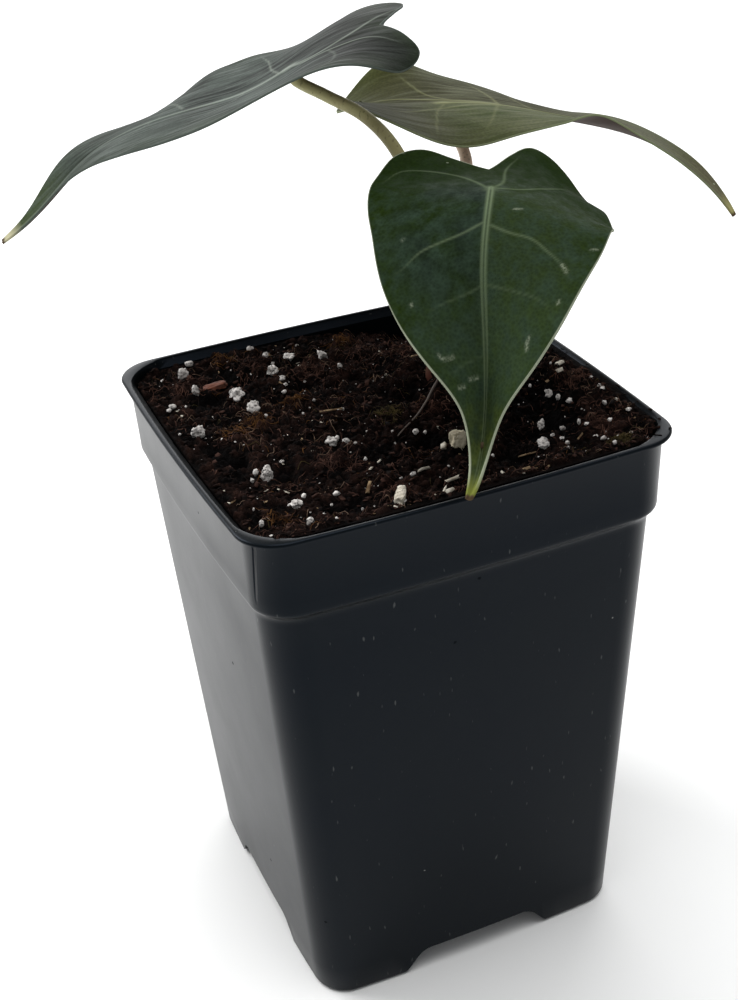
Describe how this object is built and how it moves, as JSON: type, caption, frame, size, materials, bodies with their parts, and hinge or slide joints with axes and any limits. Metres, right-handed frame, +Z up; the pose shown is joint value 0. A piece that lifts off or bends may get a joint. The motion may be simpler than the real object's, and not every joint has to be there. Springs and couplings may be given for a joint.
{
  "type": "potted alocasia plant",
  "caption": "Young bambino alocasia with dark green arrow-shaped leaves on slender stalks, in a square black nursery pot of potting mix with perlite.",
  "frame": {"origin": "on the table, at the middle of the whole plant's bounding box; the pot's own centre lies 20.6 mm from it in X and 9.8 mm in Y", "axes": "+Z up along the pot's axis, +X along the pot's front side towards the right-hand leaf, +Y towards the back of the pot; -Y is the side that the front leaf hangs over"},
  "size_m": [0.1712, 0.1372, 0.2015],
  "materials": {
    "pot": "satin, moulded, lightly dusty",
    "soil": "fibrous potting mix, rough and slightly damp",
    "stem": "smooth brown-red stem",
    "petiole": "smooth olive-tan stalk with dark specks",
    "leaf": "leathery leaf, satin above and matt below",
    "perlite": "rough white grain",
    "wood_chip": "raw pale wood chip",
    "bark": "raw reddish bark sliver"
  },
  "bodies": {
    "root": {"pot": "pot", "soil": "soil", "stem_base": "stem", "petiole_left": "petiole", "petiole_right": "petiole", "petiole_front": "petiole", "leaf_left": "leaf", "leaf_right": "leaf", "leaf_front": "leaf", "perlite_01": "perlite", "perlite_02": "perlite", "perlite_03": "perlite", "perlite_04": "perlite", "perlite_05": "perlite", "perlite_06": "perlite", "perlite_07": "perlite", "perlite_08": "perlite", "perlite_09": "perlite", "perlite_10": "perlite", "perlite_11": "perlite", "perlite_12": "perlite", "perlite_13": "perlite", "perlite_14": "perlite", "chip_cream": "wood_chip", "chip_pale": "wood_chip", "chip_reddish": "bark"}
  },
  "joints": []
}
